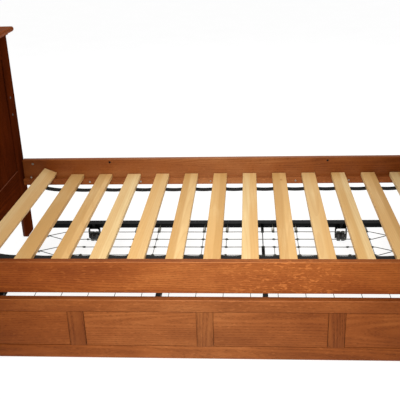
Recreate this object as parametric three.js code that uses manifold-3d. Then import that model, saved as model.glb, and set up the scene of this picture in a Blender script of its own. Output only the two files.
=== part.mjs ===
// Trundle daybed: a slatted bed between two panelled ends, with a low roll-out
// spring unit underneath that carries a framed wooden front.
// Millimetres, +Z up. Origin: on the floor, below the middle of the bed.
// +X runs along the bed to the right-hand end, -Y is the front, where the trundle rolls out.
import * as THREE from 'three';
import { mergeVertices } from 'three/addons/utils/BufferGeometryUtils.js';
import Module from 'manifold-3d';

// ---------------------------------------------------------------- dimensions
const INNER_LENGTH = 1912;      // between the two end panels
const WIDTH = 1064;             // over the side rails and posts
const GAP = 0.3;                // clearance left between touching pieces

// ends
const POST_T = 25;              // along X
const POST_W = 95;              // along Y
const POST_TOP = 988;
const FOOT_CHAMFER = 8;
const END_RAIL_T = 22;
const BOTTOM_RAIL_Z = [200, 358];
const TOP_RAIL_Z = [893, 988];
const PANEL_T = 12;
const PANEL_BOARDS = 6;
const TONGUE = 8;
const CAP_Z = [999, 1022];
const CAP_SIZE = [89, 1110];
const CAP_NECK = [43, 1084];

// side rails, ledgers, slats
const RAIL_T = 27;
const RAIL_Z = [264, 387];
const LEDGER_Z = [264, 295];
const LEDGER_T = 22;
const LEDGER_HALF = 955, LEDGER_NOTCH = 9;   // scooped out around the lower barrel nuts
const BACK_HOLE_X = 523.5, BACK_HOLE_Z = 372, BACK_HOLE_R = 5.5;
const SLAT = [64, 994, 19];
const SLAT_PITCH = 139.7, SLAT_COUNT = 13, SLAT_SHIFT = 14;
const LAST_SLAT_SHIFT = -6;
const SLAT_SKEW = { 2: 0.66, 3: 0.53, 4: 0.35, 5: 0.2 };   // degrees: their front ends stand further left
// the first slat rests on a wedge at each end, its left edge up
const FIRST_SLAT = { tilt: 22.2, skew: 1.25, rearX: -793.9, rearY: 500, low: 305 };
const WEDGE = [2, 58];          // from the slat's low edge, across it
const STRAP_W = 39, STRAP_T = 1.6, STRAP_SAG = 2.5;
const STRAP_Y = { strap_rear: 346, strap_front: -326 };

// bed bolts
const BOLT_Z = { upper: 366, lower: 296 };
const BARREL_X = { upper: 905, lower: 921 };
const BOLT_R = 3, BARREL_R = 6, HEAD_R = 9, HEAD_H = 3.5;

// trundle, wooden front
const TRUNDLE_X = -6;           // the trundle stands a little left of the bed's middle
const FRONT_Y = [-555, -527];
const FRONT_HALF = 943;
const FRONT_Z = [7, 250];
const FRONT_TOP_RAIL = 48, FRONT_BOTTOM_RAIL = 53;
const FRONT_STILE = 57.15, FRONT_PITCH = 457.2;
const FRONT_PANEL_T = 13, PANEL_GAP = 0.6, PANEL_RECESS = 1.2;

// trundle, steel frame and springs
const FRAME_HALF = 850;
const FRAME_Y = [-526.5, 418];
const ANGLE = 38, ANGLE_T = 3;
const FRAME_TOP = 101;
const TIE_X = [-198, 219], TIE_Z = 83, TIE_T = 6, TIE_ENDS = [175, 322];
const WIRE = 3.2, WIRE_Z = 96;
const ROWS = 10, ROW_PITCH = 76.8, ROW_MID = -46.25;
const V_START = 706, V_APEX = 779;
const COIL_PITCH = 107.2, COIL_COLUMNS = 14, COIL_R = 6, COIL_L = 42;
const SUPPORT_X = [-733, -165, 212, 739];
const SUPPORT = [19, 32], SUPPORT_TOP = 244;

// casters
const CASTER_X = { left: -600, right: 594 };
const AXLE_Y = { front: -498, rear: 402 };
const WHEEL_R = 24, WHEEL_TREAD = 37, WHEEL_W = 44.4, WHEEL_BORE = 4.1;
const FORK_OUT = 55, FORK_T = 5, FORK_DEPTH = 24, AXLE_R = 4;
const FORK_PLATE = 4, STEM = [11, 25.7];   // stem between the fork and the angle bar: radius, height

// ---------------------------------------------------------------- solids
const wasm = await Module();
wasm.setup();

function toSolid(geometry) {
  const g = (geometry.index ? geometry.toNonIndexed() : geometry).clone();
  for (const name of Object.keys(g.attributes)) if (name !== 'position') g.deleteAttribute(name);
  const m = mergeVertices(g, 1e-3);
  return new wasm.Manifold(new wasm.Mesh({
    numProp: 3,
    vertProperties: new Float32Array(m.attributes.position.array),
    triVerts: new Uint32Array(m.index.array),
  }));
}

function toGeometry(solid) {
  const mesh = solid.getMesh();
  const pos = new Float32Array(mesh.numVert * 3);
  for (let i = 0; i < mesh.numVert; i++)
    for (let k = 0; k < 3; k++) pos[3 * i + k] = mesh.vertProperties[i * mesh.numProp + k];
  const g = new THREE.BufferGeometry();
  g.setAttribute('position', new THREE.BufferAttribute(pos, 3));
  g.setIndex(new THREE.BufferAttribute(new Uint32Array(mesh.triVerts), 1));
  g.computeVertexNormals();
  return g;
}

const join = (...s) => s.slice(1).reduce((a, b) => a.add(b), s[0]);
const cut = (a, ...s) => s.reduce((x, b) => x.subtract(b), a);

// a closed outline pulled along one axis; pts are (y,z) for x, (x,z) for y, (x,y) for z
function prism(pts, from, to, axis, bevel = 0) {
  const p = axis === 'y' ? pts.map(([a, b]) => [b, a]) : pts;
  const shape = new THREE.Shape(p.map(([a, b]) => new THREE.Vector2(a, b)));
  const g = new THREE.ExtrudeGeometry(shape, bevel
    ? { depth: to - from - 2 * bevel, bevelEnabled: true, bevelThickness: bevel, bevelSize: bevel, bevelOffset: -bevel, bevelSegments: 1, steps: 1 }
    : { depth: to - from, bevelEnabled: false, steps: 1 });
  g.translate(0, 0, from + bevel);
  const m = new THREE.Matrix4();
  if (axis === 'x') m.makeBasis(new THREE.Vector3(0, 1, 0), new THREE.Vector3(0, 0, 1), new THREE.Vector3(1, 0, 0));
  if (axis === 'y') m.makeBasis(new THREE.Vector3(0, 0, 1), new THREE.Vector3(1, 0, 0), new THREE.Vector3(0, 1, 0));
  return g.applyMatrix4(m);
}

const rect = (a0, a1, b0, b1, c = 0) => c
  ? [[a0 + c, b0], [a1 - c, b0], [a1, b0 + c], [a1, b1 - c], [a1 - c, b1], [a0 + c, b1], [a0, b1 - c], [a0, b0 + c]]
  : [[a0, b0], [a1, b0], [a1, b1], [a0, b1]];

// a board with every edge eased by c, its grain along the given axis
function board(x0, x1, y0, y1, z0, z1, axis, c) {
  if (axis === 'x') return prism(rect(y0, y1, z0, z1, c), x0, x1, 'x', c);
  if (axis === 'y') return prism(rect(x0, x1, z0, z1, c), y0, y1, 'y', c);
  return prism(rect(x0, x1, y0, y1, c), z0, z1, 'z', c);
}
const block = (x0, x1, y0, y1, z0, z1) => {
  const g = new THREE.BoxGeometry(x1 - x0, y1 - y0, z1 - z0);
  return g.translate((x0 + x1) / 2, (y0 + y1) / 2, (z0 + z1) / 2);
};
// a round bar between two points
function rod(a, b, r, sides = 12) {
  const A = new THREE.Vector3(...a), B = new THREE.Vector3(...b), d = B.clone().sub(A);
  const g = new THREE.CylinderGeometry(r, r, d.length(), sides);
  g.applyQuaternion(new THREE.Quaternion().setFromUnitVectors(new THREE.Vector3(0, 1, 0), d.clone().normalize()));
  return g.translate(...A.add(B).multiplyScalar(0.5).toArray());
}

// ---------------------------------------------------------------- finishes
const oak = () => new THREE.MeshStandardMaterial({ color: 0x8a4a22, roughness: 0.42, metalness: 0 });
const oakDark = () => new THREE.MeshStandardMaterial({ color: 0x5c2a12, roughness: 0.4, metalness: 0 });
const pine = () => new THREE.MeshStandardMaterial({ color: 0xd9b078, roughness: 0.6, metalness: 0 });
const steel = () => new THREE.MeshStandardMaterial({ color: 0x1c1f20, roughness: 0.45, metalness: 0.6 });
const wire = () => new THREE.MeshStandardMaterial({ color: 0x8d8f90, roughness: 0.35, metalness: 0.9 });
const zinc = () => new THREE.MeshStandardMaterial({ color: 0xb9bab4, roughness: 0.35, metalness: 0.9 });
const webbing = () => new THREE.MeshStandardMaterial({ color: 0x2b2a28, roughness: 0.9, metalness: 0 });
const plastic = () => new THREE.MeshStandardMaterial({ color: 0x202224, roughness: 0.5, metalness: 0 });

const daybed = new THREE.Group();
const bed = new THREE.Group(), trundle = new THREE.Group();
trundle.position.x = TRUNDLE_X;
daybed.add(bed, trundle);

function add(group, name, shape, material, place) {
  const geometry = shape.isBufferGeometry ? shape : toGeometry(shape);
  const mesh = new THREE.Mesh(geometry, material);
  mesh.name = name;
  if (place) place(mesh);
  group.add(mesh);
  return mesh;
}

// ---------------------------------------------------------------- the two ends
const HALF = INNER_LENGTH / 2, SIDE = WIDTH / 2;
const POST_IN = SIDE - POST_W;                  // inner edge of each post
const BOLT_Y = SIDE - RAIL_T / 2;
const MID_T = HALF + POST_T / 2;                // middle of the post's thickness

function mirrored(shape, left) {                // pieces are drawn for the right-hand end
  if (!left) return shape;
  const s = shape.isBufferGeometry ? toSolid(shape) : shape;
  return s.mirror([1, 0, 0]);
}

for (const end of ['left', 'right']) {
  const left = end === 'left';
  const groove = PANEL_T / 2 + GAP;

  // cap: a bullnosed board over a narrower neck
  const plan = (size, r) => rect(MID_T - size[0] / 2, MID_T + size[0] / 2, -size[1] / 2, size[1] / 2, r);
  const nose = (CAP_Z[1] - CAP_Z[0]) / 2;
  const capShape = new THREE.Shape(plan(CAP_SIZE, 0).map(([a, b]) => new THREE.Vector2(a, b)));
  const capBoard = new THREE.ExtrudeGeometry(capShape, { depth: 1, bevelEnabled: true, bevelThickness: nose - 0.5, bevelSize: nose - 3, bevelOffset: -(nose - 3), bevelSegments: 4, steps: 1 });
  capBoard.translate(0, 0, (CAP_Z[0] + CAP_Z[1]) / 2 - 0.5);
  const neck = prism(plan(CAP_NECK, 2), POST_TOP + GAP, CAP_Z[0] + 2, 'z', 2);
  add(bed, `${end}_end_cap`, mirrored(join(toSolid(capBoard), toSolid(neck)), left), oak());

  for (const side of ['front', 'rear']) {
    const s = side === 'front' ? -1 : 1;
    const y0 = s > 0 ? POST_IN : -SIDE, y1 = s > 0 ? SIDE : -POST_IN;
    const c = FOOT_CHAMFER;
    // post: a straight board down to the floor, both corners of its foot clipped
    const shaft = board(HALF, HALF + POST_T, y0, y1, 0, POST_TOP, 'z', 2);
    const clip = prism([[y0, c], [y0 + c, 0], [y1 - c, 0], [y1, c], [y1, POST_TOP + 5], [y0, POST_TOP + 5]], HALF - 1, HALF + POST_T + 1, 'x');
    let post = toSolid(shaft).intersect(toSolid(clip));
    // groove for the panel and the end rails
    const gy = s * POST_IN;
    post = cut(post, toSolid(block(MID_T - groove, MID_T + groove, Math.min(gy, gy + s * (TONGUE + GAP)) - (s > 0 ? 1 : 0), Math.max(gy, gy + s * (TONGUE + GAP)) + (s > 0 ? 0 : 1), BOTTOM_RAIL_Z[0] - GAP, POST_TOP + 1)));
    for (const z of Object.values(BOLT_Z))
      post = cut(post, toSolid(rod([HALF - 2, s * BOLT_Y, z], [HALF + POST_T + 2, s * BOLT_Y, z], BOLT_R + 0.4, 8)));
    add(bed, `${end}_${side}_post`, mirrored(post, left), oakDark());
  }

  // end rails with stub tongues, grooved for the panel
  const railY = POST_IN - GAP;
  const endRail = ([z0, z1], grooveZ) => {
    let r = toSolid(board(MID_T - END_RAIL_T / 2, MID_T + END_RAIL_T / 2, -railY, railY, z0, z1, 'y', 1.5));
    r = join(r, toSolid(block(MID_T - PANEL_T / 2, MID_T + PANEL_T / 2, -railY - TONGUE, railY + TONGUE, z0 + 1, z1 - 1)));
    return cut(r, toSolid(block(MID_T - groove, MID_T + groove, -railY - TONGUE - 1, railY + TONGUE + 1, grooveZ[0], grooveZ[1])));
  };
  add(bed, `${end}_end_bottom_rail`, mirrored(endRail(BOTTOM_RAIL_Z, [BOTTOM_RAIL_Z[1] - TONGUE, BOTTOM_RAIL_Z[1] + 5]), left), oakDark());
  add(bed, `${end}_end_top_rail`, mirrored(endRail(TOP_RAIL_Z, [TOP_RAIL_Z[0] - 5, TOP_RAIL_Z[0] + TONGUE]), left), oakDark());

  // panel: boards side by side with a shallow vee at each joint, both faces
  const half = POST_IN + TONGUE - GAP, x0 = MID_T - PANEL_T / 2, x1 = MID_T + PANEL_T / 2;
  const pitch = 2 * POST_IN / PANEL_BOARDS, v = 2.2;
  const outline = [[x0, -half]];
  const joints = [...Array(PANEL_BOARDS - 1).keys()].map((i) => -POST_IN + (i + 1) * pitch);
  outline.push([x1, -half]);
  for (const y of joints) outline.push([x1, y - v], [x1 - v, y], [x1, y + v]);
  outline.push([x1, half], [x0, half]);
  for (const y of [...joints].reverse()) outline.push([x0, y + v], [x0 + v, y], [x0, y - v]);
  add(bed, `${end}_end_panel`, mirrored(prism(outline, BOTTOM_RAIL_Z[1] - TONGUE + GAP, TOP_RAIL_Z[0] + TONGUE - GAP, 'z'), left), oakDark());
}

// ---------------------------------------------------------------- side rails and ledgers
const firstTilt = FIRST_SLAT.tilt * Math.PI / 180, firstSkew = FIRST_SLAT.skew * Math.PI / 180;
// where the first slat's low edge is, at a given depth
const firstEdge = (y) => FIRST_SLAT.rearX - (FIRST_SLAT.rearY - y) * Math.tan(firstSkew);
const railEnd = HALF - GAP;
for (const side of ['front', 'rear']) {
  const s = side === 'front' ? -1 : 1;
  const ys = [s * (SIDE - RAIL_T), s * SIDE].sort((a, b) => a - b);
  let rail = toSolid(board(-railEnd, railEnd, ys[0], ys[1], RAIL_Z[0], RAIL_Z[1], 'x', 2.5));
  for (const e of [-1, 1]) for (const [level, z] of Object.entries(BOLT_Z)) {
    const x = BARREL_X[level];
    rail = cut(rail,
      toSolid(rod([e * (railEnd + 1), s * BOLT_Y, z], [e * (x - BARREL_R - 4), s * BOLT_Y, z], BOLT_R + 0.4, 8)),
      toSolid(rod([e * x, s * (SIDE - RAIL_T) - s * 1, z], [e * x, s * (SIDE - 5), z], BARREL_R + 0.3, 12)));
  }
  if (side === 'rear') for (const e of [-1, 1])   // two holes for a removable back
    rail = cut(rail, toSolid(rod([e * BACK_HOLE_X, SIDE - RAIL_T - 1, BACK_HOLE_Z], [e * BACK_HOLE_X, SIDE + 1, BACK_HOLE_Z], BACK_HOLE_R, 16)));
  add(bed, `${side}_side_rail`, rail, oak());

  const inner = s * (SIDE - RAIL_T - GAP), ly = [inner, inner - s * LEDGER_T].sort((a, b) => a - b);
  let ledger = toSolid(board(-LEDGER_HALF, LEDGER_HALF, ly[0], ly[1], LEDGER_Z[0], LEDGER_Z[1], 'x', 1.5));
  // wedge under the first slat, its top along the slat's underside
  const edge = firstEdge((ly[0] + ly[1]) / 2), t = Math.tan(firstTilt), top = FIRST_SLAT.low - GAP - 0.2;
  ledger = join(ledger, toSolid(prism([[edge - WEDGE[1], LEDGER_Z[1] - 2], [edge - WEDGE[0], LEDGER_Z[1] - 2], [edge - WEDGE[0], top + WEDGE[0] * t], [edge - WEDGE[1], top + WEDGE[1] * t]], ly[0] + 1.5, ly[1] - 1.5, 'y')));
  for (const e of [-1, 1]) ledger = cut(ledger, toSolid(rod([e * BARREL_X.lower, ly[0] - 1, BOLT_Z.lower], [e * BARREL_X.lower, ly[1] + 1, BOLT_Z.lower], LEDGER_NOTCH, 16)));
  add(bed, `${side}_slat_ledger`, ledger, oak());
}

// bed bolts: head outside the post, barrel nut in the rail's inner face
for (const end of ['left', 'right']) for (const side of ['front', 'rear']) for (const [level, z] of Object.entries(BOLT_Z)) {
  const s = side === 'front' ? -1 : 1;
  const face = HALF + POST_T + GAP;
  const bolt = join(
    toSolid(rod([face + HEAD_H, s * BOLT_Y, z], [face, s * BOLT_Y, z], HEAD_R, 12)),
    toSolid(rod([face + 1, s * BOLT_Y, z], [BARREL_X[level] - BARREL_R - 2, s * BOLT_Y, z], BOLT_R, 6)),
    toSolid(rod([BARREL_X[level], s * (SIDE - RAIL_T + 0.8), z], [BARREL_X[level], s * (SIDE - 6), z], BARREL_R, 12)));
  add(bed, `bed_bolt_${end}_${side}_${level}`, mirrored(bolt, end === 'left'), zinc());
}

// ---------------------------------------------------------------- slats and straps
const slatBottom = LEDGER_Z[1] + GAP;
// a slat's middle line at a given depth; the skewed ones turn about their rear end
const skewOf = (i) => (SLAT_SKEW[i] ?? 0) * Math.PI / 180;
const slatX = (i, y = 0) => SLAT_SHIFT + SLAT_PITCH * (i - (SLAT_COUNT + 1) / 2) + (i === SLAT_COUNT ? LAST_SLAT_SHIFT : 0) - (SLAT[1] / 2 - y) * Math.tan(skewOf(i));
const slatShape = () => board(-SLAT[0] / 2, SLAT[0] / 2, -SLAT[1] / 2, SLAT[1] / 2, 0, SLAT[2], 'y', 1.5);
for (let i = 1; i <= SLAT_COUNT; i++) {
  const name = `slat_${String(i).padStart(2, '0')}`;
  if (i > 1) {
    add(bed, name, slatShape(), pine(), (m) => {
      m.rotation.z = -skewOf(i);
      m.position.set(slatX(i), 0, slatBottom);
    });
    continue;
  }
  // turned about its low edge, then skewed about that edge's rear end
  const turn = new THREE.Group(), roll = new THREE.Group();
  turn.position.set(FIRST_SLAT.rearX, FIRST_SLAT.rearY, FIRST_SLAT.low);
  turn.rotation.z = -firstSkew;
  roll.rotation.y = firstTilt;
  turn.add(roll);
  bed.add(turn);
  add(roll, name, slatShape(), pine(), (m) => m.position.set(-SLAT[0] / 2, -SLAT[1] / 2, 0));
}

for (const [name, y] of Object.entries(STRAP_Y)) {
  // line of the strap's upper face: flat under each slat, a shallow sag between two
  const top = [];
  const z = slatBottom - GAP, c = Math.cos(firstTilt), s = Math.sin(firstTilt);
  // the skewed slat's underside runs along the strap's width too, so the strap keeps clear of it
  const edge = firstEdge(y), clear = 0.5 + STRAP_W / 2 * Math.tan(firstSkew) * s;
  const under = (d) => [edge - d * c - clear * s, FIRST_SLAT.low + d * s - clear * c];
  top.push(under(SLAT[0] - 6), under(4), [edge + 5, FIRST_SLAT.low - 2.4]);
  for (let i = 2; i <= SLAT_COUNT; i++) {
    const [x0, z0] = top[top.length - 1], x1 = slatX(i, y) - SLAT[0] / 2 + 3;
    for (const t of [0.2, 0.5, 0.8]) top.push([x0 + (x1 - x0) * t, z0 + (z - z0) * t - STRAP_SAG * 4 * t * (1 - t)]);
    top.push([x1, z], [slatX(i, y) + SLAT[0] / 2 - 3, z]);
  }
  const n = top.length, low = top.map(([a, b], k) => {
    const p = top[Math.max(0, k - 1)], q = top[Math.min(n - 1, k + 1)];
    const l = Math.hypot(q[0] - p[0], q[1] - p[1]);
    return [a + (q[1] - p[1]) / l * STRAP_T, b - (q[0] - p[0]) / l * STRAP_T];
  });
  add(bed, name, prism([...top, ...low.reverse()], y - STRAP_W / 2, y + STRAP_W / 2, 'y'), webbing());
}

// ---------------------------------------------------------------- trundle: wooden front
const panelTop = FRONT_Z[1] - FRONT_TOP_RAIL, panelLow = FRONT_Z[0] + FRONT_BOTTOM_RAIL;
const centres = [-1.5, -0.5, 0.5, 1.5].map((k) => k * FRONT_PITCH);
const openHalf = (FRONT_PITCH - FRONT_STILE) / 2;
{
  let f = toSolid(board(-FRONT_HALF, FRONT_HALF, FRONT_Y[0], FRONT_Y[1], FRONT_Z[0], FRONT_Z[1], 'x', 3));
  for (const c of centres) f = cut(f, toSolid(block(c - openHalf, c + openHalf, FRONT_Y[0] - 1, FRONT_Y[1] + 1, panelLow, panelTop)));
  add(trundle, 'trundle_front_frame', f, oak());
  centres.forEach((c, k) => add(trundle, `trundle_front_panel_${k + 1}`,
    board(c - openHalf + PANEL_GAP, c + openHalf - PANEL_GAP, FRONT_Y[0] + PANEL_RECESS, FRONT_Y[0] + PANEL_RECESS + FRONT_PANEL_T, panelLow + PANEL_GAP, panelTop - PANEL_GAP, 'x', 1), oak()));
}

// ---------------------------------------------------------------- trundle: steel frame
{
  const [f0, f1] = FRAME_Y, z1 = FRAME_TOP, z0 = FRAME_TOP - ANGLE, t = ANGLE_T;
  const ell = (o, d) => [[o, z0], [o + d * t, z0], [o + d * t, z1 - t], [o + d * ANGLE, z1 - t], [o + d * ANGLE, z1], [o, z1]];
  let f = join(
    toSolid(prism(ell(f1, -1), -FRAME_HALF, FRAME_HALF, 'x')), toSolid(prism(ell(f0, 1), -FRAME_HALF, FRAME_HALF, 'x')),
    toSolid(prism(ell(-FRAME_HALF, 1), f0, f1, 'y')), toSolid(prism(ell(FRAME_HALF, -1), f0, f1, 'y')));
  // two cross ties below the springs: a long flat at the front, a short one at the rear, a rod between
  const tz = TIE_Z, th = TIE_T / 2;
  for (const x of TIE_X) f = join(f,
    toSolid(block(x - 7, x + 7, f0 + 1, TIE_ENDS[0], tz - th, tz + th)),
    toSolid(block(x - 6.5, x + 6.5, TIE_ENDS[1], f1 - 1, tz - th, tz + th)),
    toSolid(rod([x, TIE_ENDS[0] - 8, tz], [x, TIE_ENDS[1] + 8, tz], 2.2, 8)));
  add(trundle, 'trundle_steel_frame', f, steel());
}

// ---------------------------------------------------------------- trundle: spring deck
{
  const w = WIRE / 2, z0 = WIRE_Z - w, z1 = WIRE_Z + w;
  const rows = [...Array(ROWS).keys()].map((k) => ROW_MID + (k - (ROWS - 1) / 2) * ROW_PITCH);
  const innerY = [FRAME_Y[0] + ANGLE, FRAME_Y[1] - ANGLE], innerX = FRAME_HALF - ANGLE;
  const columns = [...Array(COIL_COLUMNS).keys()].map((k) => (k - (COIL_COLUMNS - 1) / 2) * COIL_PITCH);
  const parts = [];
  for (const y of rows) parts.push(toSolid(block(-V_START, V_START, y - w, y + w, z0, z1)));
  // a link line across the rows at every second edge spring
  for (const x of columns.filter((c) => Math.abs(Math.abs(c) / COIL_PITCH % 2 - 0.5) < 0.1))
    parts.push(toSolid(block(x - w, x + w, rows[0] - w + 0.4, rows[ROWS - 1] + w - 0.4, z0 + 0.4, z1 - 0.4)));
  for (let k = 0; k < ROWS; k += 2) for (const s of [-1, 1]) {
    const ya = rows[k], yb = rows[k + 1], ym = (ya + yb) / 2;
    const X = (a) => s * a;
    // the two row ends draw together to a point that an end spring pulls on
    const vee = [[X(V_START - 1), ya - w], [X(V_APEX), ym - w], [X(V_APEX), ym + w], [X(V_START - 1), yb + w], [X(V_START - 1), yb - w], [X(V_APEX - 6), ym], [X(V_START - 1), ya + w]];
    parts.push(toSolid(prism(vee, z0, z1, 'z')));
    parts.push(toSolid(rod([X(V_APEX - 2), ym, WIRE_Z], [X(V_APEX + 4), ym, WIRE_Z], w, 6)));
    parts.push(toSolid(rod([X(V_APEX + 3), ym, WIRE_Z - 3], [X(innerX - 5), ym, WIRE_Z - 3], COIL_R - 1, 6)));
    parts.push(toSolid(rod([X(innerX - 6), ym, WIRE_Z - 1], [X(innerX + 6), ym, WIRE_Z - 1], w, 6)));
  }
  for (const x of columns) {
    for (const s of [-1, 1]) {
      const row = s < 0 ? rows[0] : rows[ROWS - 1], edge = s < 0 ? innerY[0] : innerY[1];
      parts.push(toSolid(rod([x, row, WIRE_Z - 3], [x, row + s * COIL_L, WIRE_Z - 3], COIL_R - 1, 6)));
      const reach = s < 0 && Math.min(Math.abs(x - CASTER_X.left), Math.abs(x - CASTER_X.right)) < FORK_OUT / 2 + 4 ? -3 : 8;   // hooks stop short above a caster
      parts.push(toSolid(rod([x, row + s * (COIL_L - 1), WIRE_Z - 1], [x, edge + s * reach, WIRE_Z - 1], w, 6)));
    }
  }
  const deck = wasm.Manifold.union(parts);
  add(trundle, 'trundle_spring_deck', deck, wire());
}

// uprights that carry the wooden front on the steel frame
SUPPORT_X.forEach((x, k) => add(trundle, `front_support_${k + 1}`,
  board(x - SUPPORT[0] / 2, x + SUPPORT[0] / 2, FRONT_Y[1] + GAP, FRONT_Y[1] + GAP + SUPPORT[1], FRAME_TOP + GAP, SUPPORT_TOP, 'z', 1), steel()));

// ---------------------------------------------------------------- trundle: casters
for (const side of ['front', 'rear']) for (const end of ['left', 'right']) {
  const x = CASTER_X[end], y = AXLE_Y[side];
  const seat = FRAME_TOP - ANGLE_T - GAP, top = seat - STEM[1], o = FORK_OUT / 2, i = o - FORK_T, d = FORK_DEPTH / 2;
  // a bent strip: two legs with rounded ends, a top plate and the riveted axle
  const leg = [[y - d, top], [y - d, WHEEL_R]];
  for (let k = 1; k < 6; k++) { const a = Math.PI + k * Math.PI / 6; leg.push([y + d * Math.cos(a), WHEEL_R + d * Math.sin(a)]); }
  leg.push([y + d, WHEEL_R], [y + d, top]);
  const fork = join(
    toSolid(prism(leg, x - o, x - i, 'x')), toSolid(prism(leg, x + i, x + o, 'x')),
    toSolid(block(x - o, x + o, y - d, y + d, top - FORK_PLATE, top)),
    toSolid(rod([x, y, top - 1], [x, y, seat], STEM[0], 16)),
    toSolid(rod([x - o - 2, y, WHEEL_R], [x + o + 2, y, WHEEL_R], AXLE_R, 12)));
  add(trundle, `caster_fork_${side}_${end}`, fork, steel());

  const h = WHEEL_TREAD / 2, W = WHEEL_W / 2, R = WHEEL_R;
  const profile = [[WHEEL_BORE, -W], [9, -W], [9, -h], [R - 2, -h], [R, -h + 2.5], [R, h - 2.5], [R - 2, h], [9, h], [9, W], [WHEEL_BORE, W]];
  const wheel = new THREE.LatheGeometry([...profile, profile[0]].map(([a, b]) => new THREE.Vector2(a, b)), 20);
  wheel.rotateZ(Math.PI / 2);
  add(trundle, `caster_wheel_${side}_${end}`, toSolid(wheel), plastic(), (m) => m.position.set(x, y, WHEEL_R));
}

export default daybed;
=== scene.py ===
"""Looks of the trundle daybed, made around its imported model. Metres, +Z up, origin on the floor below the bed's middle."""
import bmesh
import bpy
import math
import random
from mathutils import Matrix, Vector


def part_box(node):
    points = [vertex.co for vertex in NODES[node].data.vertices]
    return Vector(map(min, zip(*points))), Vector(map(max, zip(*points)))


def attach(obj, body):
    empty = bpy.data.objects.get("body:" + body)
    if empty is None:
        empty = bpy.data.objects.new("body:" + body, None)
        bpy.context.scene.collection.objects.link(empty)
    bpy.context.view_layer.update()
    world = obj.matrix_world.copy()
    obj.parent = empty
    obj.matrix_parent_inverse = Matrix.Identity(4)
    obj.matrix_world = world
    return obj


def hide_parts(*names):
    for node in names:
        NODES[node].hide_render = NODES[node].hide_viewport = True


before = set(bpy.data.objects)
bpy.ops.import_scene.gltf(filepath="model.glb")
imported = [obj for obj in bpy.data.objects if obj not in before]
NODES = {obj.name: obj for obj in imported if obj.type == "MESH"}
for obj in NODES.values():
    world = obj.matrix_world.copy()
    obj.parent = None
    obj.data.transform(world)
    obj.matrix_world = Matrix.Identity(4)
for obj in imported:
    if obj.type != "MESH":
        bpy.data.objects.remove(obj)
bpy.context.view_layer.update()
rad = math.radians


# ------------------------------------------------------------------ mesh helpers
TRUNDLE_X = -0.006                              # the trundle stands a little left of the bed's middle


class Build:
    """Collects several closed forms into one object."""

    def __init__(self):
        self.v, self.f, self.m, self.s = [], [], [], []

    def add(self, form, mat=0, smooth=True, at=None):
        verts, faces = form
        o = len(self.v)
        self.v += [tuple(at @ Vector(p)) if at is not None else tuple(p) for p in verts]
        self.f += [tuple(i + o for i in f) for f in faces]
        self.m += [mat] * len(faces)
        self.s += [smooth] * len(faces)

    def make(self, name, mats, body, replaces=(), sharp=35):
        me = bpy.data.meshes.new(name)
        dx = 0.0 if body == "bed" else TRUNDLE_X
        me.from_pydata([(v[0] + dx, v[1], v[2]) for v in self.v], [], self.f)
        for m in mats:
            me.materials.append(m)
        me.polygons.foreach_set("material_index", self.m)
        me.polygons.foreach_set("use_smooth", self.s)
        me.update()
        me.set_sharp_from_angle(angle=rad(sharp))
        ob = bpy.data.objects.new(name, me)
        bpy.context.scene.collection.objects.link(ob)
        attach(ob, body)
        if replaces:
            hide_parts(*replaces)
        return ob


def board(x0, x1, y0, y1, z0, z1, r=0.002, seg=3):
    """A board with rounded edges."""
    bm = bmesh.new()
    bmesh.ops.create_cube(bm, size=1.0)
    for v in bm.verts:
        v.co = Vector((x0 if v.co.x < 0 else x1, y0 if v.co.y < 0 else y1, z0 if v.co.z < 0 else z1))
    bmesh.ops.bevel(bm, geom=bm.edges[:], offset=r, segments=seg, profile=0.5, affect="EDGES")
    bmesh.ops.recalc_face_normals(bm, faces=bm.faces[:])
    out = [v.co.copy() for v in bm.verts], [[v.index for v in f.verts] for f in bm.faces]
    bm.free()
    return out


def tube(points, r, n=6, closed=False):
    """A round wire along a line of points. r is one radius, or one for each point."""
    P = [Vector(p) for p in points]
    N = len(P)
    R = r if hasattr(r, "__len__") else [r] * N
    T = []
    for i in range(N):
        a = P[(i - 1) % N] if closed or i else P[i]
        b = P[(i + 1) % N] if closed or i < N - 1 else P[i]
        T.append((b - a).normalized())
    up = Vector((0, 0, 1)) if abs(T[0].z) < 0.9 else Vector((1, 0, 0))
    nrm = (up - T[0] * up.dot(T[0])).normalized()
    verts, faces = [], []
    for i in range(N):
        nrm = (nrm - T[i] * nrm.dot(T[i])).normalized()
        bi = T[i].cross(nrm)
        for k in range(n):
            a = 2 * math.pi * k / n
            verts.append(P[i] + (nrm * math.cos(a) + bi * math.sin(a)) * R[i])
    m = N if closed else N - 1
    for i in range(m):
        for k in range(n):
            a, b = i * n + k, i * n + (k + 1) % n
            c, d = ((i + 1) % N) * n + (k + 1) % n, ((i + 1) % N) * n + k
            faces.append((a, b, c, d))
    if not closed:
        faces.append(tuple(range(n - 1, -1, -1)))
        faces.append(tuple((N - 1) * n + k for k in range(n)))
    return verts, faces


def lathe(profile, n=32, axis="x", shape=None):
    """A closed profile of (radius, along) pairs turned about an axis. shape(i, angle) may scale a point's radius."""
    verts, faces = [], []
    M = len(profile)
    for k in range(n):
        a = 2 * math.pi * k / n
        for i, (r, h) in enumerate(profile):
            q = r * (shape(i, a) if shape else 1.0)
            c, s = q * math.cos(a), q * math.sin(a)
            verts.append({"x": (h, c, s), "y": (s, h, c), "z": (c, s, h)}[axis])
    for k in range(n):
        j = (k + 1) % n
        for i in range(M):
            l = (i + 1) % M
            faces.append((k * M + i, j * M + i, j * M + l, k * M + l))
    return outward(verts, faces)


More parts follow.
